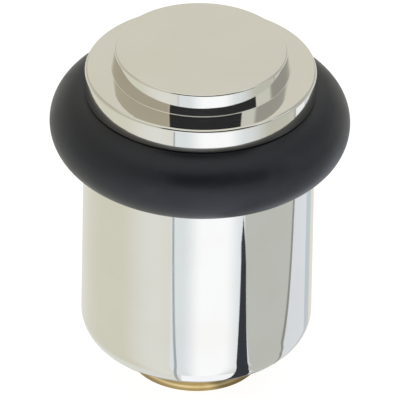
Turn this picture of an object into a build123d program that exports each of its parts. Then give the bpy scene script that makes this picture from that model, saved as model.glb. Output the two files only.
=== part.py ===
from build123d import *
import os
from math import radians, tan

# Pillar door stop with a captive rubber ring, in millimetres.
# The origin is the centre of the brass foot's flat underside, on the floor.
# +Z is the turning axis of every piece and points up, from the floor to the button.
# Threads are plain cylinders at their crest diameter.

# ---- driving dimensions -------------------------------------------------

# barrel: the polished pillar
barrel_diameter = 38.7
barrel_bottom = 5.2              # height of its lower face over the floor
barrel_height = 35.95            # lower face to the shoulder under the ring
barrel_bottom_round = 5.0
barrel_shoulder_round = 0.4

# rubber ring in its groove
ring_centre_diameter = 38.34     # to the middle of the ring's round section
ring_section = 11.9
groove_height = 12.05            # barrel shoulder to the flange's underside
neck_diameter = 26.2

# head: flange and button turned from one piece
flange_diameter = 38.7
flange_thickness = 4.3
flange_edge_round = 0.5
button_foot_diameter = 29.75
button_top_diameter = 28.9
button_height = 3.9
button_edge_round = 0.35
button_root_round = 0.1

# brass floor boss: foot, shoulder and threaded spigot
foot_diameter = 22.0
foot_edge_chamfer = 0.4
foot_register_diameter = 19.6    # the step that centres the barrel's mouth
foot_register_height = 1.6
boss_thread_diameter = 16.0
boss_thread_pitch = 1.5
boss_top = 21.2
spanner_slot_width = 3.0
spanner_slot_depth = 2.5

# fixing screw hole, for a 5 mm countersunk wood screw
screw_hole_diameter = 5.5
screw_head_diameter = 10.2
countersink_top = 12.0
countersink_angle = 90.0

# slip washer between boss and barrel
slip_washer_thickness = 1.0
slip_washer_diameter = 20.6      # wider than the barrel's mouth, so it is snapped in and stays

# head stud and its spring washer
stud_diameter = 8.0
stud_pitch = 1.25
stud_length = 18.0
stud_depth_in_neck = 12.2
stud_hex = 4.0
stud_hex_depth = 4.0
spring_washer_bore = 8.4
spring_washer_diameter = 14.0
spring_washer_thickness = 1.6
spring_washer_gap = 1.0

thread_depth_per_pitch = 0.65    # crest to root, for every thread

# fits, all radial
running_clearance = 0.05         # threads that are turned, foot register
locked_clearance = 0.02          # stud fixed in the neck with thread lock
washer_clearance = 0.2
drill_point_angle = 118.0

# ---- heights worked out from them ---------------------------------------

washer_seat = barrel_bottom + foot_register_height
thread_start = washer_seat + slip_washer_thickness
shoulder = barrel_bottom + barrel_height
neck_top = shoulder + groove_height
ring_centre = shoulder + groove_height / 2
flange_top = neck_top + flange_thickness
button_top = flange_top + button_height
stud_bottom = neck_top - stud_depth_in_neck
stud_top = stud_bottom + stud_length
boss_bore_depth = boss_top + 1.2
stud_bore_bottom = stud_bottom - 1.0
head_bore_top = stud_top + 0.3


def turned(*points):
    """Solid of revolution about Z from a closed outline of (radius, height) points."""
    outline = Polyline(*points, close=True)
    section = make_face(Plane.XZ * outline)
    return revolve(section, Axis.Z)


def drill_point(radius):
    """Height of the cone that a drill leaves at the end of a blind hole."""
    return radius / tan(radians(drill_point_angle / 2))


def rims(solid, radius, height):
    """The circular edges of the given radius at the given height."""
    near = 0.001
    found = []
    for edge in solid.edges().filter_by(GeomType.CIRCLE):
        if abs(edge.radius - radius) < near and abs(edge.arc_center.Z - height) < near:
            found.append(edge)
    return found


def floor_boss():
    """Brass foot with the threaded spigot that the barrel is screwed onto."""
    foot = foot_diameter / 2
    register = foot_register_diameter / 2 - running_clearance
    thread = boss_thread_diameter / 2
    thread_depth = boss_thread_pitch * thread_depth_per_pitch
    thread_root = thread - thread_depth
    relief_top = washer_seat + boss_thread_pitch
    hole = screw_hole_diameter / 2
    screw_head = screw_head_diameter / 2
    sink_depth = (screw_head - hole) / tan(radians(countersink_angle / 2))
    boss = turned(
        (hole, 0),
        (foot - foot_edge_chamfer, 0),
        (foot, foot_edge_chamfer),
        (foot, barrel_bottom),
        (register, barrel_bottom),
        (register, washer_seat),
        (thread_root, washer_seat),
        (thread_root, relief_top),
        (thread, relief_top + thread_depth),
        (thread, boss_top - thread_depth),
        (thread_root, boss_top),
        (screw_head, boss_top),
        (screw_head, countersink_top),
        (hole, countersink_top - sink_depth),
    )
    slot = Box(boss_thread_diameter + 2, spanner_slot_width, spanner_slot_depth * 2)
    return boss - Pos(0, 0, boss_top) * slot


def slip_washer():
    """Nylon washer, trapped in the barrel's mouth, that keeps the barrel from working loose."""
    bore = boss_thread_diameter / 2 + washer_clearance
    outer = slip_washer_diameter / 2
    return turned(
        (bore, washer_seat),
        (outer, washer_seat),
        (outer, thread_start),
        (bore, thread_start),
    )


def barrel():
    """Solid pillar with a threaded blind bore below and the ring's neck on top."""
    outer = barrel_diameter / 2
    neck = neck_diameter / 2
    mouth = foot_register_diameter / 2
    undercut = slip_washer_diameter / 2 + washer_clearance
    thread = boss_thread_diameter / 2 + running_clearance
    stud_bore = stud_diameter / 2 + locked_clearance
    body = turned(
        (0, boss_bore_depth + drill_point(thread)),
        (thread, boss_bore_depth),
        (thread, thread_start),
        (undercut, thread_start),
        (undercut, washer_seat),
        (mouth, washer_seat),
        (mouth, barrel_bottom),
        (outer, barrel_bottom),
        (outer, shoulder),
        (neck, shoulder),
        (neck, neck_top),
        (stud_bore, neck_top),
        (stud_bore, stud_bore_bottom),
        (0, stud_bore_bottom - drill_point(stud_bore)),
    )
    body = fillet(rims(body, outer, barrel_bottom), barrel_bottom_round)
    return fillet(rims(body, outer, shoulder), barrel_shoulder_round)


def buffer_ring():
    """Rubber ring of round section that lies in the groove between shoulder and flange."""
    return Pos(0, 0, ring_centre) * Torus(ring_centre_diameter / 2, ring_section / 2)


def head_stud():
    """Headless screw, fixed in the neck, that the head is screwed down on."""
    radius = stud_diameter / 2
    end_chamfer = stud_pitch * thread_depth_per_pitch
    stud = turned(
        (0, stud_bottom),
        (radius - end_chamfer, stud_bottom),
        (radius, stud_bottom + end_chamfer),
        (radius, stud_top - end_chamfer),
        (radius - end_chamfer, stud_top),
        (0, stud_top),
    )
    socket = extrude(RegularPolygon(stud_hex / 2, 6, major_radius=False), stud_hex_depth)
    return stud - Pos(0, 0, stud_top - stud_hex_depth) * socket


def head_washer():
    """Split spring washer, flat in its recess under the head."""
    bore = spring_washer_bore / 2
    outer = spring_washer_diameter / 2
    washer = turned(
        (bore, neck_top),
        (outer, neck_top),
        (outer, neck_top + spring_washer_thickness),
        (bore, neck_top + spring_washer_thickness),
    )
    split = Box(outer * 2, spring_washer_gap, spring_washer_thickness * 2)
    return washer - Pos(outer, 0, neck_top + spring_washer_thickness / 2) * split


def head():
    """Flange that traps the ring, and the button on it, with a threaded blind hole below."""
    flange = flange_diameter / 2
    recess = spring_washer_diameter / 2 + washer_clearance
    recess_top = neck_top + spring_washer_thickness
    thread = stud_diameter / 2 + running_clearance
    button_foot = button_foot_diameter / 2
    button_rim = button_top_diameter / 2
    cap = turned(
        (0, button_top),
        (button_rim, button_top),
        (button_foot, flange_top),
        (flange, flange_top),
        (flange, neck_top),
        (recess, neck_top),
        (recess, recess_top),
        (thread, recess_top),
        (thread, head_bore_top),
        (0, head_bore_top),
    )
    cap = fillet(rims(cap, flange, flange_top), flange_edge_round)
    cap = fillet(rims(cap, button_foot, flange_top), button_root_round)
    return fillet(rims(cap, button_rim, button_top), button_edge_round)


pieces = {
    "floor_boss": floor_boss,
    "slip_washer": slip_washer,
    "barrel": barrel,
    "buffer_ring": buffer_ring,
    "head_stud": head_stud,
    "head_washer": head_washer,
    "head": head,
}

os.makedirs("parts", exist_ok=True)
for name, make in pieces.items():
    export_step(make(), f"parts/{name}.step")
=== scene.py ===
from math import ceil, cos, pi, radians, sin, sqrt, tan

import bpy
import numpy as np
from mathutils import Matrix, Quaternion, Vector


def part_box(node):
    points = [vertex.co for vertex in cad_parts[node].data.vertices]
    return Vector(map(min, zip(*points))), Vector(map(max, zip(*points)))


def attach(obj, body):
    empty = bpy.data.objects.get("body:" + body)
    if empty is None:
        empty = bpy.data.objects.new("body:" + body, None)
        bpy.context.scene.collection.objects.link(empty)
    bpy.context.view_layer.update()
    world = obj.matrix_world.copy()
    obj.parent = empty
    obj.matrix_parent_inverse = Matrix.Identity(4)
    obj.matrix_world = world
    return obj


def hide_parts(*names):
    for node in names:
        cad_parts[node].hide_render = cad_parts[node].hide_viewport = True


# Pillar door stop with a captive rubber ring: looks, studio and camera.
# Lengths below are in millimetres unless a name says metres; meshes are made in metres.
# The turning axis is Z and the floor is at height 0, as in the CAD.

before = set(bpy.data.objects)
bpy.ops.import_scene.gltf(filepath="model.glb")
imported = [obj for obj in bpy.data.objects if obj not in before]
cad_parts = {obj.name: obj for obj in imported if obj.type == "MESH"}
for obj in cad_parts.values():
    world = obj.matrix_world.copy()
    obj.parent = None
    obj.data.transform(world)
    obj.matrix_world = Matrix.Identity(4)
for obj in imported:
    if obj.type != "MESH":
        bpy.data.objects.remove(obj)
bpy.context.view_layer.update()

MM = 0.001


def span(node):
    """Radius, lowest and highest point of a CAD node, in millimetres."""
    low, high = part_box(node)
    return high.y / MM, low.z / MM, high.z / MM


# ---- sizes --------------------------------------------------------------

BARREL_RADIUS, BARREL_BOTTOM, NECK_TOP = span("barrel")
HEAD_RADIUS, _, BUTTON_TOP = span("head")
FOOT_RADIUS, _, BOSS_TOP = span("floor_boss")
RING_RADIUS, RING_LOW, RING_HIGH = span("buffer_ring")
STUD_RADIUS, STUD_BOTTOM, STUD_TOP = span("head_stud")
SLIP_RADIUS, SLIP_LOW, SLIP_HIGH = span("slip_washer")
SPRING_RADIUS, SPRING_LOW, SPRING_HIGH = span("head_washer")

BARREL_BOTTOM_ROUND = 5.0
BARREL_SHOULDER_ROUND = 0.4
SHOULDER = 41.15
NECK_RADIUS = 13.1
MOUTH_RADIUS = 9.8
UNDERCUT_RADIUS = 10.5
FLANGE_TOP = 57.5
FLANGE_EDGE_ROUND = 0.5
BUTTON_FOOT_RADIUS = 14.875
BUTTON_TOP_RADIUS = 14.45
BUTTON_EDGE_ROUND = 0.35
BUTTON_ROOT_ROUND = 0.1
RECESS_RADIUS = 7.2
BOSS_THREAD_RADIUS = 8.0
BOSS_PITCH = 1.5
BOSS_BORE_TOP = 22.4
STUD_PITCH = 1.25
STUD_BORE_BOTTOM = 40.0
HEAD_BORE_TOP = 59.3
REGISTER_RADIUS = 9.75
SCREW_HOLE_RADIUS = 2.75
SCREW_HEAD_RADIUS = 5.1
COUNTERSINK_TOP = 12.0
COUNTERSINK_BOTTOM = 9.65
SPANNER_SLOT_WIDTH = 3.0
SPANNER_SLOT_DEPTH = 2.5
SLIP_BORE_RADIUS = 8.2
SPRING_BORE_RADIUS = 4.2
SPRING_GAP = 1.0
HEX_ACROSS_FLATS = 4.0
HEX_DEPTH = 4.0
DRILL_POINT = tan(radians(59))      # half the angle at a drill's point
BROKEN_EDGE = 0.12              # the small round that polishing leaves on every corner
THREAD_PLAY = 0.04              # gap between two threads that turn on each other
HOLE_THREAD_DEPTH = 0.5413      # crest to root of a thread in a hole, per pitch
SCREW_THREAD_DEPTH = 0.6134     # the same on a screw
THREAD_RELIEF = 0.65            # depth of the plain groove at a screw thread's end, per pitch

FINE = 256                      # segments round a piece that shows
COARSE = 144                    # segments round a hidden one


# ---- turned shapes ------------------------------------------------------

def rounded(corners, closed=False):
    """Outline with its corners rounded, as [(start, end, normal at start, normal at end)].

    corners are (radius, height, corner round), in order with the solid on the left.
    """
    n = len(corners)
    spots = []
    for k, (r, z, curve) in enumerate(corners):
        here = np.array((r, z), float)
        if curve <= 0 or (not closed and k in (0, n - 1)):
            spots.append([(here, None)])
            continue
        to_last = np.array(corners[k - 1][:2], float) - here
        to_next = np.array(corners[(k + 1) % n][:2], float) - here
        to_last /= np.linalg.norm(to_last)
        to_next /= np.linalg.norm(to_next)
        half = np.arccos(np.clip(to_last @ to_next, -1, 1)) / 2
        setback = curve / tan(half)
        middle = to_last + to_next
        centre = here + middle / np.linalg.norm(middle) * curve / sin(half)
        first, last = here + to_last * setback, here + to_next * setback
        turn = pi - 2 * half
        steps = max(3, ceil(turn / radians(7.5)))
        a, b = first - centre, last - centre
        arc = []
        for i in range(steps + 1):
            t = i / steps
            spoke = (a * sin((1 - t) * turn) + b * sin(t * turn)) / sin(turn)
            arc.append((centre + spoke, spoke / curve))
        # a spoke points out of the solid on a convex corner and into it on a hollow one
        inward = np.array((-to_last[1], to_last[0]))
        side = -1 if (arc[0][1] @ inward) < 0 else 1
        spots.append([(p, s * side) for p, s in arc])
    pieces = []
    for k in range(n if closed else n - 1):
        group = spots[k]
        for (p, s), (q, t) in zip(group, group[1:]):
            pieces.append((p, q, s, t))
        p, q = group[-1][0], spots[(k + 1) % n][0][0]
        along = q - p
        length = np.linalg.norm(along)
        if length > 1e-6:
            flat = np.array((along[1], -along[0])) / length
            pieces.append((p, q, flat, flat))
    if not closed:
        group = spots[-1]
        for (p, s), (q, t) in zip(group, group[1:]):
            pieces.append((p, q, s, t))
    return pieces


class Skin:
    """The surface of one turned piece, gathered ring by ring."""

    def __init__(self, segments):
        self.segments = segments
        self.points, self.faces, self.normals = [], [], []

    def point(self, radius, turn, height):
        self.points.append((radius * cos(turn) * MM, radius * sin(turn) * MM, height * MM))
        return len(self.points) - 1

    def ring(self, radius, height):
        """Indices of a ring of points, or of the same point over and over on the axis."""
        n = self.segments
        if radius < 1e-6:
            return [self.point(0, 0, height)] * n
        return [self.point(radius, 2 * pi * i / n, height) for i in range(n)]

    def face(self, corners, normals):
        kept = [k for k in range(len(corners)) if corners[k] != corners[k - 1]]
        if len({corners[k] for k in kept}) >= 3:
            self.faces.append([corners[k] for k in kept])
            self.normals.extend(normals[k] for k in kept)

    def band(self, ring_a, ring_b, normal_a, normal_b):
        """Faces between two rings, with the outline's normals at each."""
        n = self.segments
        for i in range(n):
            j = (i + 1) % n
            turns = (2 * pi * i / n, 2 * pi * (i + 1) / n)
            a = [(normal_a[0] * cos(t), normal_a[0] * sin(t), normal_a[1]) for t in turns]
            b = [(normal_b[0] * cos(t), normal_b[0] * sin(t), normal_b[1]) for t in turns]
            corners = (ring_a[i], ring_a[j], ring_b[j], ring_b[i])
            self.face(corners, (a[0], a[1], b[1], b[0]))

    def turn(self, pieces, start=None, end=None):
        """Sweeps an outline round the axis, between two rings that may be there already."""
        first = start or self.ring(*pieces[0][0])
        ring = first
        for k, (p, q, normal_p, normal_q) in enumerate(pieces):
            last = k == len(pieces) - 1
            following = end if last and end else self.ring(*q)
            self.band(ring, following, normal_p, normal_q)
            ring = following
        return first, ring

    def thread(self, low_ring, high_ring, low, high, pitch, shape, limit, inside):
        """A right-hand thread between two rings; shape gives its radius over one pitch."""
        n, per_pitch = self.segments, len(shape)
        low_row = -per_pitch * 2
        high_row = per_pitch * (ceil((high - low) / pitch) + 1)
        made = {}
        touch = pitch / 400

        def at(i, row):
            if i == n:
                i, row = 0, row + per_pitch
            if (i, row) not in made:
                share, radius = shape[row % per_pitch]
                turn = 2 * pi * i / n
                height = pitch * (row // per_pitch + share + i / n)
                if height <= low + touch:
                    made[i, row] = low_ring[i]
                elif height >= high - touch:
                    made[i, row] = high_ring[i]
                else:
                    made[i, row] = self.point(limit(radius, height), turn, height)
            return made[i, row]

        base = int(low // pitch) * per_pitch
        for row in range(base + low_row, base + high_row + per_pitch):
            for i in range(n):
                corners = [at(i, row), at(i + 1, row), at(i + 1, row + 1), at(i, row + 1)]
                if inside:
                    corners.reverse()
                self.face(corners, [(0, 0, 0)] * 4)

    def finish(self, name, material):
        """The object, with the outline's own normals on its faces."""
        used = sorted({k for f in self.faces for k in f})
        place = {k: i for i, k in enumerate(used)}
        mesh = bpy.data.meshes.new(name)
        faces = [[place[k] for k in f] for f in self.faces]
        mesh.from_pydata([self.points[k] for k in used], [], faces)
        mesh.polygons.foreach_set("use_smooth", [True] * len(faces))
        mesh.normals_split_custom_set(self.normals)
        mesh.materials.append(material)
        piece = bpy.data.objects.new(name, mesh)
        bpy.context.scene.collection.objects.link(piece)
        return piece


def thread_shape(major, pitch, play, depth_share):
    """Radius of a 60 degree thread over one pitch, as (share of the pitch, radius)."""
    depth = pitch * depth_share
    crest = pitch / 16 + play
    flank = depth / sqrt(3)
    soft = pitch * 0.02
    rows = (
        (0, 0),
        (crest - soft, 0),
        (crest + soft, soft * 1.2),
        (crest + flank * 0.5, depth * 0.5),
        (crest + flank - soft, depth - soft * 1.2),
        (crest + flank + soft, depth),
    )
    half = [(along / pitch, major - down) for along, down in rows]
    other = [(1 - share, radius) for share, radius in half[:0:-1]]
    return half + other


# ---- node trees ---------------------------------------------------------

class Graph:
    """Short spellings for building a node tree."""

    def __init__(self, tree):
        self.tree = tree
        tree.nodes.clear()

    def node(self, kind, inputs=(), **settings):
        made = self.tree.nodes.new("ShaderNode" + kind)
        for name, value in settings.items():
            setattr(made, name, value)
        for key, value in dict(inputs).items():
            self.feed(made.inputs[key], value)
        return made

    def feed(self, socket, value):
        if isinstance(value, bpy.types.NodeSocket):
            self.tree.links.new(value, socket)
        elif isinstance(value, bpy.types.Node):
            self.tree.links.new(value.outputs[0], socket)
        else:
            socket.default_value = value

    def math(self, operation, a, b=0.0, c=0.0, clamp=False):
        made = self.node("Math", {0: a, 1: b, 2: c}, operation=operation)
        made.use_clamp = clamp
        return made.outputs[0]

    def rise(self, value, low, high, start=0.0, end=1.0):
        """Goes smoothly from start to end as value goes from low to high."""
        inputs = {"Value": value, "From Min": low, "From Max": high, "To Min": start, "To Max": end}
        made = self.node("MapRange", inputs, interpolation_type="SMOOTHSTEP")
        return made.outputs["Result"]

    def mix(self, share, a, b):
        made = self.node("Mix", data_type="RGBA")
        self.feed(made.inputs[0], share)
        self.feed(made.inputs[6], a)
        self.feed(made.inputs[7], b)
        return made.outputs[2]

    def noise(self, vector, scale, w=None, detail=3.0, roughness=0.5):
        inputs = {"Vector": vector, "Scale": scale, "Detail": detail, "Roughness": roughness}
        made = self.node("TexNoise", noise_dimensions="3D" if w is None else "4D")
        for key, value in inputs.items():
            self.feed(made.inputs[key], value)
        if w is not None:
            self.feed(made.inputs["W"], w)
        return made.outputs[0]


def linear(*colour):
    """Scene-linear colour of an sRGB colour in 0 to 255."""
    parts = [c / 255 for c in colour]
    return [p / 12.92 if p <= 0.04045 else ((p + 0.055) / 1.055) ** 2.4 for p in parts]


def rgba(colour):
    return (*colour, 1.0)


def turned_coordinates(g):
    """The object coordinates, their three parts, and the distance from the axis."""
    where = g.node("TexCoord").outputs["Object"]
    split = g.node("SeparateXYZ", {0: where}).outputs
    across = g.math("MULTIPLY", split[0], split[0])
    along = g.math("MULTIPLY", split[1], split[1])
    never_zero = 0.0001
    radius = g.math("MAXIMUM", g.math("SQRT", g.math("ADD", across, along)), never_zero)
    return where, split, radius


def round_the_axis(g, split, radius, fine, slow):
    """Noise drawn out into lines round the axis: fine across them, slow along them."""
    vector = g.node("CombineXYZ", {
        0: g.math("MULTIPLY", g.math("DIVIDE", split[0], radius), slow),
        1: g.math("MULTIPLY", g.math("DIVIDE", split[1], radius), slow),
        2: g.math("MULTIPLY", radius, fine),
    })
    return g.noise(vector.outputs[0], 1.0, w=g.math("MULTIPLY", split[2], fine), detail=2.0)


def new_material(name):
    """A material with one principled shader, as (material, graph, shader)."""
    material = bpy.data.materials.new(name)
    material.use_nodes = True
    g = Graph(material.node_tree)
    shader = g.node("BsdfPrincipled")
    output = g.node("OutputMaterial")
    g.feed(output.inputs["Surface"], shader)
    return material, g, shader


def bump(g, height, metres, normal=None):
    """Normal of a surface whose relief is height times metres."""
    inputs = {"Strength": 1.0, "Distance": metres, "Height": height}
    made = g.node("Bump", inputs)
    if normal is not None:
        g.feed(made.inputs["Normal"], normal)
    return made.outputs["Normal"]


NICKEL = (0.83, 0.815, 0.77)
WARM_NICKEL = (0.815, 0.795, 0.742)


def polished_nickel():
    material, g, shader = new_material("polished_nickel")
    where, split, radius = turned_coordinates(g)
    lines = round_the_axis(g, split, radius, 5200.0, 2.0)
    cloud = g.noise(where, 95.0, detail=4.0)
    smudge = g.noise(where, 210.0, detail=5.0, roughness=0.62)
    wave = g.noise(where, 60.0, detail=1.0)
    warm = g.rise(cloud, 0.35, 0.68)
    shader.inputs["Metallic"].default_value = 1.0
    g.feed(shader.inputs["Base Color"], g.mix(warm, rgba(NICKEL), rgba(WARM_NICKEL)))
    fog = g.rise(smudge, 0.5, 0.74, 0.035, 0.085)
    streak = g.rise(lines, 0.35, 0.7, 0.0, 0.02)
    g.feed(shader.inputs["Roughness"], g.math("ADD", fog, streak))
    fine = bump(g, lines, 1.2e-6)
    g.feed(shader.inputs["Normal"], bump(g, wave, 2.0e-5, fine))
    return material


def turned_brass():
    material, g, shader = new_material("turned_brass")
    where, split, radius = turned_coordinates(g)
    lines = round_the_axis(g, split, radius, 7000.0, 1.5)
    cloud = g.noise(where, 160.0, detail=4.0)
    tarnish = g.rise(cloud, 0.42, 0.75)
    shader.inputs["Metallic"].default_value = 1.0
    bright, tarnished = (0.86, 0.64, 0.29, 1.0), (0.74, 0.51, 0.2, 1.0)
    g.feed(shader.inputs["Base Color"], g.mix(tarnish, bright, tarnished))
    g.feed(shader.inputs["Roughness"], g.rise(cloud, 0.3, 0.75, 0.1, 0.2))
    g.feed(shader.inputs["Normal"], bump(g, lines, 6.0e-6))
    return material


def black_rubber():
    material, g, shader = new_material("black_rubber")
    where = g.node("TexCoord").outputs["Object"]
    grain = g.noise(where, 6500.0, detail=3.0, roughness=0.6)
    pores = g.noise(where, 1700.0, detail=2.0)
    bloom = g.noise(where, 130.0, detail=5.0, roughness=0.6)
    dust = g.rise(bloom, 0.45, 0.8)
    clean, dusty = (0.0115, 0.0125, 0.018, 1.0), (0.023, 0.024, 0.031, 1.0)
    g.feed(shader.inputs["Base Color"], g.mix(dust, clean, dusty))
    g.feed(shader.inputs["Roughness"], g.rise(bloom, 0.3, 0.75, 0.34, 0.46))
    shader.inputs["Specular Tint"].default_value = (0.88, 0.92, 1.0, 1.0)
    height = g.math("ADD", grain, g.math("MULTIPLY", pores, 2.0))
    g.feed(shader.inputs["Normal"], bump(g, height, 5.0e-6))
    return material


def natural_nylon():
    material, g, shader = new_material("natural_nylon")
    where = g.node("TexCoord").outputs["Object"]
    cloud = g.noise(where, 300.0, detail=4.0)
    grain = g.noise(where, 4200.0, detail=3.0)
    g.feed(shader.inputs["Base Color"], g.mix(cloud, (0.80, 0.78, 0.70, 1.0), (0.72, 0.69, 0.60, 1.0)))
    g.feed(shader.inputs["Roughness"], g.rise(cloud, 0.3, 0.7, 0.38, 0.55))
    shader.inputs["Subsurface Weight"].default_value = 0.15
    shader.inputs["Subsurface Scale"].default_value = 0.001
    g.feed(shader.inputs["Normal"], bump(g, grain, 1.0e-5))
    return material


def zinc_plate():
    material, g, shader = new_material("zinc_plated_steel")
    where = g.node("TexCoord").outputs["Object"]
    cloud = g.noise(where, 420.0, detail=5.0, roughness=0.6)
    grain = g.noise(where, 5200.0, detail=2.0)
    shader.inputs["Metallic"].default_value = 1.0
    g.feed(shader.inputs["Base Color"], g.mix(cloud, (0.66, 0.68, 0.70, 1.0), (0.52, 0.53, 0.55, 1.0)))
    g.feed(shader.inputs["Roughness"], g.rise(cloud, 0.3, 0.7, 0.22, 0.4))
    g.feed(shader.inputs["Normal"], bump(g, grain, 5.0e-6))
    return material


def oiled_spring_steel():
    material, g, shader = new_material("oiled_spring_steel")
    where, split, radius = turned_coordinates(g)
    lines = round_the_axis(g, split, radius, 3600.0, 1.0)
    cloud = g.noise(where, 380.0, detail=5.0, roughness=0.6)
    shader.inputs["Metallic"].default_value = 1.0
    bare, oily = (0.17, 0.17, 0.18, 1.0), (0.09, 0.085, 0.085, 1.0)
    g.feed(shader.inputs["Base Color"], g.mix(cloud, bare, oily))
    g.feed(shader.inputs["Roughness"], g.rise(cloud, 0.3, 0.7, 0.24, 0.46))
    g.feed(shader.inputs["Normal"], bump(g, lines, 1.2e-5))
    return material


# ---- pieces -------------------------------------------------------------

def place(piece, body, slot, node):
    """Hands a finished piece to the frame, in place of its CAD node."""
    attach(piece, body)
    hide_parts(node)


def make_barrel(material):
    skin = Skin(FINE)
    thread_minor = BOSS_THREAD_RADIUS - BOSS_PITCH * HOLE_THREAD_DEPTH + THREAD_PLAY
    thread_major = BOSS_THREAD_RADIUS + THREAD_PLAY
    stud_minor = STUD_RADIUS - STUD_PITCH * HOLE_THREAD_DEPTH + THREAD_PLAY
    stud_major = STUD_RADIUS + THREAD_PLAY
    boss_mouth = skin.ring(thread_major, SLIP_HIGH)
    boss_end = skin.ring(thread_minor, BOSS_BORE_TOP)
    stud_mouth = skin.ring(stud_major, NECK_TOP)
    stud_end = skin.ring(stud_minor, STUD_BORE_BOTTOM)
    outside = rounded([
        (thread_major, SLIP_HIGH, 0),
        (UNDERCUT_RADIUS, SLIP_HIGH, 0.1),
        (UNDERCUT_RADIUS, SLIP_LOW, 0.1),
        (MOUTH_RADIUS, SLIP_LOW, 0.05),
        (MOUTH_RADIUS, BARREL_BOTTOM, 0.2),
        (BARREL_RADIUS, BARREL_BOTTOM, BARREL_BOTTOM_ROUND),
        (BARREL_RADIUS, SHOULDER, BARREL_SHOULDER_ROUND),
        (NECK_RADIUS, SHOULDER, 0.3),
        (NECK_RADIUS, NECK_TOP, BROKEN_EDGE),
        (stud_major, NECK_TOP, 0),
    ])
    skin.turn(outside, boss_mouth, stud_mouth)

    def boss_limit(radius, height):
        countersunk = thread_major - max(0, height - SLIP_HIGH)
        return min(thread_major, max(radius, countersunk))

    def stud_limit(radius, height):
        countersunk = stud_major - max(0, NECK_TOP - height)
        return min(stud_major, max(radius, countersunk))

    shape = thread_shape(thread_major, BOSS_PITCH, THREAD_PLAY, HOLE_THREAD_DEPTH)
    skin.thread(boss_mouth, boss_end, SLIP_HIGH, BOSS_BORE_TOP, BOSS_PITCH, shape, boss_limit, True)
    shape = thread_shape(stud_major, STUD_PITCH, THREAD_PLAY, HOLE_THREAD_DEPTH)
    skin.thread(stud_end, stud_mouth, STUD_BORE_BOTTOM, NECK_TOP, STUD_PITCH, shape, stud_limit, True)
    tip = BOSS_BORE_TOP + thread_minor / DRILL_POINT
    skin.turn(rounded([(0, tip, 0), (thread_minor, BOSS_BORE_TOP, 0)]), None, boss_end)
    tip = STUD_BORE_BOTTOM - stud_minor / DRILL_POINT
    skin.turn(rounded([(stud_minor, STUD_BORE_BOTTOM, 0), (0, tip, 0)]), stud_end, None)
    place(skin.finish("pillar_barrel", material), "barrel", "polished_nickel", "barrel")


def make_head(material):
    skin = Skin(FINE)
    minor = STUD_RADIUS - STUD_PITCH * HOLE_THREAD_DEPTH + THREAD_PLAY
    major = STUD_RADIUS + THREAD_PLAY
    mouth = skin.ring(major, SPRING_HIGH)
    end = skin.ring(minor, HEAD_BORE_TOP)
    outside = rounded([
        (major, SPRING_HIGH, 0),
        (RECESS_RADIUS, SPRING_HIGH, 0.1),
        (RECESS_RADIUS, NECK_TOP, BROKEN_EDGE),
        (HEAD_RADIUS, NECK_TOP, 0.2),
        (HEAD_RADIUS, FLANGE_TOP, FLANGE_EDGE_ROUND),
        (BUTTON_FOOT_RADIUS, FLANGE_TOP, BUTTON_ROOT_ROUND),
        (BUTTON_TOP_RADIUS, BUTTON_TOP, BUTTON_EDGE_ROUND),
        (0, BUTTON_TOP, 0),
    ])
    skin.turn(outside, mouth, None)

    def limit(radius, height):
        countersunk = major - max(0, height - SPRING_HIGH)
        return min(major, max(radius, countersunk))

    shape = thread_shape(major, STUD_PITCH, THREAD_PLAY, HOLE_THREAD_DEPTH)
    skin.thread(mouth, end, SPRING_HIGH, HEAD_BORE_TOP, STUD_PITCH, shape, limit, True)
    skin.turn(rounded([(0, HEAD_BORE_TOP, 0), (minor, HEAD_BORE_TOP, 0)]), None, end)
    place(skin.finish("flanged_head", material), "head", "polished_nickel", "head")


def make_buffer_ring(material):
    skin = Skin(FINE)
    section = (RING_HIGH - RING_LOW) / 2
    centre = RING_RADIUS - section
    middle = (RING_HIGH + RING_LOW) / 2
    steps = 96
    rings, normals = [], []
    for k in range(steps):
        turn = 2 * pi * k / steps
        normals.append((cos(turn), sin(turn)))
        rings.append(skin.ring(centre + section * cos(turn), middle + section * sin(turn)))
    for k in range(steps):
        j = (k + 1) % steps
        skin.band(rings[k], rings[j], normals[k], normals[j])
    place(skin.finish("rubber_buffer_ring", material), "buffer_ring", "rubber", "buffer_ring")


def close_turn(skin, corners):
    """A closed ring of any outline."""
    pieces = rounded(corners, closed=True)
    first = skin.ring(*pieces[0][0])
    skin.turn(pieces, first, first)


def make_slip_washer(material):
    skin = Skin(COARSE)
    soft = 0.15
    close_turn(skin, [
        (SLIP_BORE_RADIUS, SLIP_LOW, soft),
        (SLIP_RADIUS, SLIP_LOW, soft),
        (SLIP_RADIUS, SLIP_HIGH, soft),
        (SLIP_BORE_RADIUS, SLIP_HIGH, soft),
    ])
    place(skin.finish("nylon_slip_washer", material), "slip_washer", "nylon", "slip_washer")


def cut(piece, tool):
    """Takes the tool's space out of the piece, and gives it plain corner normals again."""
    modifier = piece.modifiers.new("cut", "BOOLEAN")
    modifier.operation = "DIFFERENCE"
    modifier.solver = "EXACT"
    modifier.object = tool
    weld = piece.modifiers.new("weld", "WELD")
    weld.merge_threshold = 1.0e-7
    weighted = piece.modifiers.new("weighted", "WEIGHTED_NORMAL")
    weighted.keep_sharp = True
    bpy.context.view_layer.update()
    graph = bpy.context.evaluated_depsgraph_get()
    cut_mesh = bpy.data.meshes.new_from_object(piece.evaluated_get(graph))
    cut_mesh.name = piece.data.name + "_cut"
    piece.modifiers.clear()
    piece.data = cut_mesh
    bpy.data.objects.remove(tool)


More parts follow.
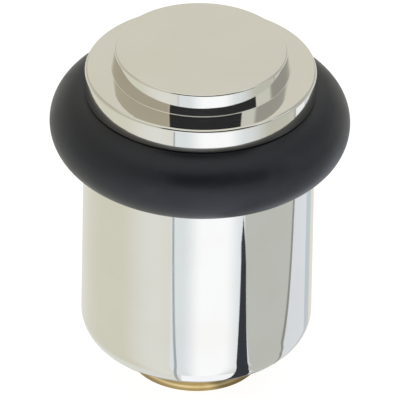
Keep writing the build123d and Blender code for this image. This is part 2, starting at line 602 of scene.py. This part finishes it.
def prism(outline, low, high):
    """A closed upright prism, used as a cutting tool."""
    n = len(outline)
    points = [(x * MM, y * MM, z * MM) for z in (low, high) for x, y in outline]
    faces = [[*range(n)][::-1], [*range(n, 2 * n)]]
    faces += [[i, (i + 1) % n, n + (i + 1) % n, n + i] for i in range(n)]
    mesh = bpy.data.meshes.new("tool")
    mesh.from_pydata(points, [], faces)
    tool = bpy.data.objects.new("tool", mesh)
    bpy.context.scene.collection.objects.link(tool)
    return tool


def make_floor_boss(material):
    skin = Skin(COARSE)
    relief = BOSS_THREAD_RADIUS - BOSS_PITCH * THREAD_RELIEF
    low = SLIP_LOW + BOSS_PITCH * 0.8
    low_ring = skin.ring(relief, low)
    high_ring = skin.ring(relief, BOSS_TOP)

    def limit(radius, height):
        start = relief + max(0, height - low - BOSS_PITCH * 0.2)
        end = relief + (BOSS_TOP - height)
        return max(relief, min(radius, start, end))

    shape = thread_shape(BOSS_THREAD_RADIUS, BOSS_PITCH, 0, SCREW_THREAD_DEPTH)
    skin.thread(low_ring, high_ring, low, BOSS_TOP, BOSS_PITCH, shape, limit, False)
    rest = rounded([
        (relief, BOSS_TOP, 0),
        (SCREW_HEAD_RADIUS, BOSS_TOP, BROKEN_EDGE),
        (SCREW_HEAD_RADIUS, COUNTERSINK_TOP, 0.05),
        (SCREW_HOLE_RADIUS, COUNTERSINK_BOTTOM, 0.05),
        (SCREW_HOLE_RADIUS, 0, 0.15),
        (FOOT_RADIUS, 0, 0.4),
        (FOOT_RADIUS, BARREL_BOTTOM, BROKEN_EDGE),
        (REGISTER_RADIUS, BARREL_BOTTOM, 0.05),
        (REGISTER_RADIUS, SLIP_LOW, BROKEN_EDGE),
        (relief, SLIP_LOW, 0.2),
        (relief, low, 0),
    ])
    skin.turn(rest, high_ring, low_ring)
    piece = skin.finish("brass_floor_boss", material)
    half = SPANNER_SLOT_WIDTH / 2
    reach = BOSS_THREAD_RADIUS + 1
    slot = [(-reach, -half), (reach, -half), (reach, half), (-reach, half)]
    cut(piece, prism(slot, BOSS_TOP - SPANNER_SLOT_DEPTH, BOSS_TOP + 1))
    place(piece, "floor_boss", "brass", "floor_boss")


def make_stud(material):
    skin = Skin(COARSE)
    root = STUD_RADIUS - STUD_PITCH * THREAD_RELIEF
    low_ring = skin.ring(root, STUD_BOTTOM)
    high_ring = skin.ring(root, STUD_TOP)

    def limit(radius, height):
        nearest_end = min(height - STUD_BOTTOM, STUD_TOP - height)
        return max(root, min(radius, root + nearest_end))

    shape = thread_shape(STUD_RADIUS, STUD_PITCH, 0, SCREW_THREAD_DEPTH)
    skin.thread(low_ring, high_ring, STUD_BOTTOM, STUD_TOP, STUD_PITCH, shape, limit, False)
    skin.turn(rounded([(0, STUD_BOTTOM, 0), (root, STUD_BOTTOM, 0)]), None, low_ring)
    skin.turn(rounded([(root, STUD_TOP, 0), (0, STUD_TOP, 0)]), high_ring, None)
    piece = skin.finish("head_stud_m8", material)
    corner = HEX_ACROSS_FLATS / 2 / cos(radians(30))
    hexagon = [(corner * cos(radians(60 * k)), corner * sin(radians(60 * k))) for k in range(6)]
    cut(piece, prism(hexagon, STUD_TOP - HEX_DEPTH, STUD_TOP + 1))
    place(piece, "barrel", "stud_steel", "head_stud")


def make_spring_washer(material):
    """Split washer: a rounded square section swept round, with slanting cut ends."""
    soft = 0.18
    pieces = rounded([
        (SPRING_BORE_RADIUS, SPRING_LOW, soft),
        (SPRING_RADIUS, SPRING_LOW, soft),
        (SPRING_RADIUS, SPRING_HIGH, soft),
        (SPRING_BORE_RADIUS, SPRING_HIGH, soft),
    ], closed=True)
    section = [p for p, _, _, _ in pieces]
    n, steps = len(section), 180
    middle = (SPRING_LOW + SPRING_HIGH) / 2
    slant = 0.35
    points = []
    for k in range(steps + 1):
        for radius, height in section:
            # both ends are cut along the same slanting plane, SPRING_GAP apart
            lean = (height - middle) * slant
            start = (SPRING_GAP / 2 + lean) / radius
            end = 2 * pi - (SPRING_GAP / 2 - lean) / radius
            turn = start + (end - start) * k / steps
            points.append((radius * cos(turn) * MM, radius * sin(turn) * MM, height * MM))
    faces = []
    for k in range(steps):
        for i in range(n):
            j = (i + 1) % n
            a, b = k * n, (k + 1) * n
            faces.append([a + i, b + i, b + j, a + j])
    faces.append([*range(n)])
    faces.append([steps * n + i for i in range(n)][::-1])
    mesh = bpy.data.meshes.new("split_spring_washer")
    mesh.from_pydata(points, [], faces)
    mesh.polygons.foreach_set("use_smooth", [True] * len(faces))
    mesh.set_sharp_from_angle(angle=radians(40))
    mesh.materials.append(material)
    piece = bpy.data.objects.new("split_spring_washer", mesh)
    bpy.context.scene.collection.objects.link(piece)
    place(piece, "head_washer", "spring_steel", "head_washer")


nickel = polished_nickel()
make_floor_boss(turned_brass())
make_slip_washer(natural_nylon())
make_barrel(nickel)
make_buffer_ring(black_rubber())
make_stud(zinc_plate())
make_spring_washer(oiled_spring_steel())
make_head(nickel)


# ---- studio -------------------------------------------------------------

def as_seen(red, green, blue, bounces=1):
    """Brightness of a card that looks like this sRGB colour in the polished nickel."""
    return [c / metal ** bounces for c, metal in zip(linear(red, green, blue), NICKEL)]


def card(colour, left, right, low=-91, high=91, soft=1.0, soft_height=2.0):
    """A card round the object: azimuth from the camera side, elevation, edge softness, in degrees."""
    return {
        "colour": colour, "left": left, "right": right, "low": low, "high": high,
        "soft": soft, "soft_height": soft_height,
    }


BACKDROP_STRENGTH = 1.05            # a little over white, as the camera sees it


def build_world(cards):
    """The surroundings by direction: cards laid over one another, and white for the camera."""
    world = bpy.data.worlds.new("studio")
    bpy.context.scene.world = world
    world.use_nodes = True
    g = Graph(world.node_tree)
    direction = g.node("TexCoord").outputs["Generated"]
    split = g.node("SeparateXYZ", {0: direction}).outputs
    towards = g.math("MULTIPLY", split[1], -1.0)
    azimuth = g.math("DEGREES", g.math("ARCTAN2", split[0], towards))
    elevation = g.math("DEGREES", g.math("ARCSINE", split[2]))
    colour = None
    for c in cards:
        if colour is None:
            colour = rgba(c["colour"])
            continue
        left = g.rise(azimuth, c["left"] - c["soft"], c["left"] + c["soft"])
        right = g.rise(azimuth, c["right"] - c["soft"], c["right"] + c["soft"], 1.0, 0.0)
        across = g.math("MULTIPLY", left, right)
        bottom = g.rise(elevation, c["low"] - c["soft_height"], c["low"] + c["soft_height"])
        top = g.rise(elevation, c["high"] - c["soft_height"], c["high"] + c["soft_height"], 1.0, 0.0)
        share = g.math("MULTIPLY", across, g.math("MULTIPLY", bottom, top))
        colour = g.mix(share, colour, rgba(c["colour"]))
    studio = g.node("Background", {"Color": colour, "Strength": 1.0})
    white = g.node("Background", {"Color": (1, 1, 1, 1), "Strength": BACKDROP_STRENGTH})
    seen = g.node("LightPath").outputs["Is Camera Ray"]
    both = g.node("MixShader", {0: seen, 1: studio, 2: white})
    g.feed(g.node("OutputWorld").inputs["Surface"], both)


ALL_LEFT, ALL_RIGHT = -200, 200     # all the way round, with room for soft edges
HORIZON = -8                        # elevation of the table's far edge

build_world([
    card(as_seen(213, 210, 198), ALL_LEFT, ALL_RIGHT),
    # the table further off, seen by the upright walls
    card(as_seen(205, 203, 186), -134, -66, -91, HORIZON, 22),
    card(as_seen(217, 217, 209), -62, -24, -91, HORIZON, 20),
    card(as_seen(216, 221, 222), -26, 70, -91, HORIZON, 0.5),
    card(as_seen(186, 186, 173), 62, 113, -91, HORIZON, 16),
    card(as_seen(249, 250, 250), -5, 38, -91, HORIZON, 11),
    card(as_seen(196, 200, 202), -28.5, -26.5, -24, HORIZON, 0.7),
    card(as_seen(184, 194, 197), 108, 153, -91, -25, 1.5),
    card(as_seen(232, 233, 234), 111, 128, -91, -27, 1.5),
    # painted shadow along the grey sheet's edge, further off
    card(as_seen(165, 166, 158), 108, 111, -91, HORIZON, 1),
    # soft light and shade level with the object, seen from low viewpoints
    card(as_seen(176, 173, 160), -165, -55, HORIZON, 10, 32, 4),
    card(as_seen(158, 157, 148), 50, 160, HORIZON, 10, 30, 4),
    card(as_seen(244, 244, 242), -24, 14, HORIZON, 10, 14, 4),
    # walls and cards above the table, seen by way of the flange
    card(as_seen(204, 201, 186), -201, -120, HORIZON, 91, 10, 6),
    card(as_seen(204, 201, 187), 120, 201, HORIZON, 91, 10, 6),
    card(as_seen(160, 153, 134, 2), -165, -38, 17, 31, 3, 2),
    card(as_seen(163, 157, 137, 2), -165, -44, 34, 51, 3, 2),
    card(as_seen(196, 196, 186, 2), 50, 110, 16, 91, 2, 3),
    card(as_seen(145, 143, 134, 2), 100, 162, 16, 31, 4, 3),
    card(as_seen(150, 148, 139, 2), 84, 157, 34, 54, 4, 3),
    card(as_seen(42, 42, 43, 2), -38, 74, 17, 33, 0.7, 2),
    card(as_seen(42, 42, 43, 2), -44, 61, 33, 61, 0.7, 3),
    card(as_seen(216, 214, 203), ALL_LEFT, ALL_RIGHT, 68, 120, 1, 7),
])


SHEET_STEP_METRES = 0.00003     # from one layer of sheets on the table to the next
ROUND_THE_FOOT_METRES = 0.00015


def flat_card(name, corners, height, material):
    """A flat many-sided card lying at a height in metres, with its corners in millimetres."""
    mesh = bpy.data.meshes.new(name)
    mesh.from_pydata([(x * MM, y * MM, height) for x, y in corners], [], [[*range(len(corners))]])
    mesh.materials.append(material)
    made = bpy.data.objects.new(name, mesh)
    bpy.context.scene.collection.objects.link(made)
    return made


def pale_floor():
    """The floor, nearly white by its own glow, with soft shadows and never mirrored."""
    material, g, shader = new_material("pale_floor")
    shader.inputs["Base Color"].default_value = (0.4, 0.4, 0.4, 1.0)
    shader.inputs["Roughness"].default_value = 1.0
    shader.inputs["Specular IOR Level"].default_value = 0.0
    shader.inputs["Emission Color"].default_value = (1.0, 1.0, 1.0, 1.0)
    shader.inputs["Emission Strength"].default_value = 0.87
    reach = 4000
    corners = [(-reach, -reach), (reach, -reach), (reach, reach), (-reach, reach)]
    floor = flat_card("floor", corners, 0.0, material)
    floor.visible_glossy = False


def only_in_reflections(made):
    """Hides a card from everything but the reflections in polished faces."""
    made.visible_camera = False
    made.visible_diffuse = False
    made.visible_shadow = False


def glow(g, colour, strength=1.0):
    """Makes the graph's surface shine evenly, with no light falling on it."""
    shine = g.node("Emission", {"Color": colour, "Strength": strength})
    g.feed(g.node("OutputMaterial").inputs["Surface"], shine)


def table_sheet(name, colour, corners, layer):
    """A sheet of paper near the object that only its polished faces see, in millimetres; also used for
    the painted shadow along a sheet's edge.
    """
    material = bpy.data.materials.new(name)
    material.use_nodes = True
    glow(Graph(material.node_tree), rgba(as_seen(*colour)))
    only_in_reflections(flat_card(name, corners, layer * SHEET_STEP_METRES, material))


def table_line(name, colour, line, layer):
    """A strip on the table along (x, y, width) points, for a sheet's edge line and for the painted
    shadow along an edge.
    """
    left, right = [], []
    for k, (x, y, width) in enumerate(line):
        before, after = line[max(k - 1, 0)], line[min(k + 1, len(line) - 1)]
        along = Vector((after[0] - before[0], after[1] - before[1])).normalized()
        left.append((x - along.y * width / 2, y + along.x * width / 2))
        right.append((x + along.y * width / 2, y - along.x * width / 2))
    table_sheet(name, colour, right + left[::-1], layer)


def sector(inner, outer, left, right):
    """Corners of a part of a ring round the axis; degrees count from the camera side."""
    steps = 24
    turns = [radians(left + (right - left) * k / steps) for k in range(steps + 1)]
    rim = [(outer * sin(t), -outer * cos(t)) for t in turns]
    return rim + [(inner * sin(t), -inner * cos(t)) for t in reversed(turns)]


def shade_round_the_foot():
    """The table between foot and barrel edge, in shade but for a ring of light."""
    material = bpy.data.materials.new("shade_round_the_foot")
    material.use_nodes = True
    g = Graph(material.node_tree)
    where = g.node("TexCoord").outputs["Object"]
    split = g.node("SeparateXYZ", {0: where}).outputs
    across = g.math("MULTIPLY", split[0], split[0])
    along = g.math("MULTIPLY", split[1], split[1])
    radius = g.math("SQRT", g.math("ADD", across, along))
    inside = g.rise(radius, 11.8 * MM, 12.15 * MM)
    outside = g.rise(radius, 12.4 * MM, 12.8 * MM, 1.0, 0.0)
    lit = g.math("MULTIPLY", inside, outside)
    colour = g.mix(lit, (0.5, 0.5, 0.48, 1.0), (1.0, 1.05, 1.2, 1.0))
    # painted shade: the glow is a little dimmer to the left and much dimmer to the right
    left_shade = g.rise(split[0], -9 * MM, 0, 0.72, 1.0)
    right_shade = g.rise(split[0], 2.2 * MM, 5.6 * MM, 1.0, 0.4)
    side = g.math("MULTIPLY", left_shade, right_shade)
    glow(g, colour, side)
    inner, outer = 10.9, 14.4
    for name, left in (("shade_front", -90), ("shade_back", 90)):
        corners = sector(inner, outer, left, left + 180)
        only_in_reflections(flat_card(name, corners, ROUND_THE_FOOT_METRES, material))


pale_floor()
shade_round_the_foot()
# a white sheet lies in front of the stop and under it, a grey one to its right with a dark gap
# between them, and a pale blue one beyond that
table_sheet("white_sheet_under", (242, 244, 245), sector(14.3, 22, -9.5, 27), 1)
table_sheet("pale_sheet_under", (212, 213, 204), sector(14.3, 22, -100, -9.5), 1)
table_sheet("grey_sheet", (184, 186, 179), [
    (9, -8), (11, -12), (22, -26), (54, -59), (80, -30), (84, 18), (67, 8.3), (31.4, -10.7), (16, -7),
], 2)
table_sheet("blue_sheet", (213, 216, 219), [
    (17, -8), (31.4, -10.7), (67, 8.3), (84, 18), (84, 68),
], 2)
# painted shadow: a darker strip along the grey sheet's edge
table_line("grey_sheet_edge_shadow", (138, 139, 134), [
    (15, -6.5, 1), (24, -10.2, 1.2), (31.4, -10.7, 1.6), (67, 8.3, 3.2), (84, 18, 3.5),
], 3)
table_line("white_sheet_edge", (160, 165, 168), [
    (-3, -14.4, 0.6), (-8.6, -34, 1.2), (-28, -72, 2.3), (-45, -105, 2.5),
], 3)
table_sheet("dark_gap", (54, 55, 61), [
    (10, -11), (13.8, -17.8), (21, -26), (43.5, -47), (47.2, -51.8), (51.8, -60), (43.8, -55.2),
    (40.6, -51.4), (17.6, -30),
    (7.4, -15.5), (5, -12.8),
], 4)

# ---- camera -------------------------------------------------------------

ELEVATION = radians(33.1)
ROLL = radians(1.12)
VIEW_WIDTH_METRES = 0.067
AIM_METRES = Vector((0.00028, 0.0, 0.03135))
LENS = 1500.0
SENSOR_WIDTH = 36.0

camera_data = bpy.data.cameras.new("camera")
camera_data.lens = LENS
camera_data.sensor_width = SENSOR_WIDTH
camera = bpy.data.objects.new("camera", camera_data)
bpy.context.scene.collection.objects.link(camera)
backward = Vector((0, -cos(ELEVATION), sin(ELEVATION)))
distance = LENS / SENSOR_WIDTH * VIEW_WIDTH_METRES
camera.location = AIM_METRES + backward * distance
camera.rotation_mode = "QUATERNION"
camera.rotation_quaternion = (-backward).to_track_quat("-Z", "Y") @ Quaternion((0, 0, 1), ROLL)
bpy.context.scene.camera = camera
bpy.context.scene.view_settings.view_transform = "Standard"
